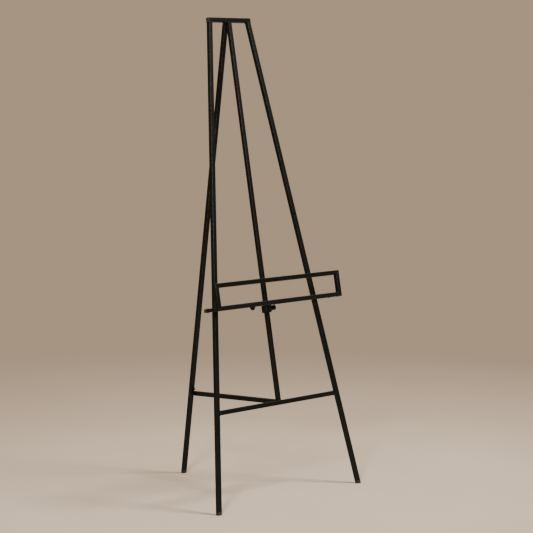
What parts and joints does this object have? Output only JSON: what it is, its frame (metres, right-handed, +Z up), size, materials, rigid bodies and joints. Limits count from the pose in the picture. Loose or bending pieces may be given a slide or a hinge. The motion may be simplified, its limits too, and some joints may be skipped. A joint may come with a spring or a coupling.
{
  "type": "display easel",
  "caption": "Floor-standing tubular steel display easel: A-frame front, folding rear leg with a stay, and a picture ledge that slides on the centre post.",
  "frame": {"origin": "on the floor, in the middle of the easel's footprint box", "axes": "+Z up; +X to the right seen from the front; -Y towards the viewer in front, +Y towards the rear leg"},
  "size_m": [0.7152, 0.5914, 1.7016],
  "materials": {
    "black_powder_coat": "satin black powder coat with fine orange peel",
    "dark_steel": "black-oxidised steel fastener",
    "foot_rubber": "matt moulded rubber",
    "cap_plastic": "fine-textured moulded plastic",
    "black_nylon": "smooth moulded nylon"
  },
  "bodies": {
    "front_frame": {"left_leg": "black_powder_coat", "right_leg": "black_powder_coat", "top_bar": "black_powder_coat", "top_bar_left_plug": "cap_plastic", "top_bar_right_plug": "cap_plastic", "centre_post": "black_powder_coat", "crossbar": "black_powder_coat", "left_foot_cap": "foot_rubber", "right_foot_cap": "foot_rubber", "rear_leg_hinge_tab": "black_powder_coat", "stay_hinge_tab": "black_powder_coat"},
    "rear_leg_assembly": {"rear_leg": "black_powder_coat", "rear_foot_cap": "foot_rubber", "rear_leg_hinge_bolt": "dark_steel", "rear_leg_hinge_nut": "dark_steel", "rear_leg_hinge_left_spacer": "black_nylon", "rear_leg_hinge_right_spacer": "black_nylon", "stay_pin": "dark_steel", "stay_pin_retainer": "dark_steel", "leg_peg": "black_powder_coat"},
    "stay_assembly": {"stay": "black_powder_coat", "stay_end_plug": "cap_plastic", "stay_hinge_bolt": "dark_steel", "stay_hinge_nut": "dark_steel", "stay_hinge_left_spacer": "black_nylon", "stay_hinge_right_spacer": "black_nylon"},
    "ledge": {"lip_bottom_bar": "black_powder_coat", "lip_right_bar": "black_powder_coat", "lip_top_bar": "black_powder_coat", "lip_left_bar": "black_powder_coat", "left_arm": "black_powder_coat", "centre_arm": "black_powder_coat", "right_arm": "black_powder_coat", "back_bar": "black_powder_coat", "back_bar_left_plug": "cap_plastic", "back_bar_right_plug": "cap_plastic", "collar": "black_powder_coat", "collar_liner": "black_nylon", "collar_plate": "black_powder_coat", "lip_lug": "black_powder_coat", "clamp_nut": "dark_steel"},
    "clamp_screw": {"clamp_lever": "black_powder_coat", "clamp_stud": "dark_steel", "clamp_pad": "black_nylon"}
  },
  "joints": [
    {"name": "rear_leg_fold", "type": "hinge", "parent": "front_frame", "child": "rear_leg_assembly", "pos_m": [0, 0.05015, 1.68253], "axis": [-1, 0, 0], "range_deg": [0, 17.5]},
    {"name": "stay_fold", "type": "hinge", "parent": "front_frame", "child": "stay_assembly", "pos_m": [0.017, -0.20105, 0.33514], "axis": [1, 0, 0], "range_deg": [0, 82]},
    {"name": "ledge_slide", "type": "slide", "parent": "front_frame", "child": "ledge", "axis": [0, 0.1865, 0.9825], "range_m": [-0.29, 0.7]},
    {"name": "clamp_turn", "type": "hinge", "parent": "ledge", "child": "clamp_screw", "pos_m": [0.03, -0.16047, 0.66954], "axis": [-1, 0, 0], "range_deg": [0, 200]}
  ],
  "couplings": [
    {"joint": "stay_fold", "follows": "rear_leg_fold", "ratio": 4.68}
  ]
}
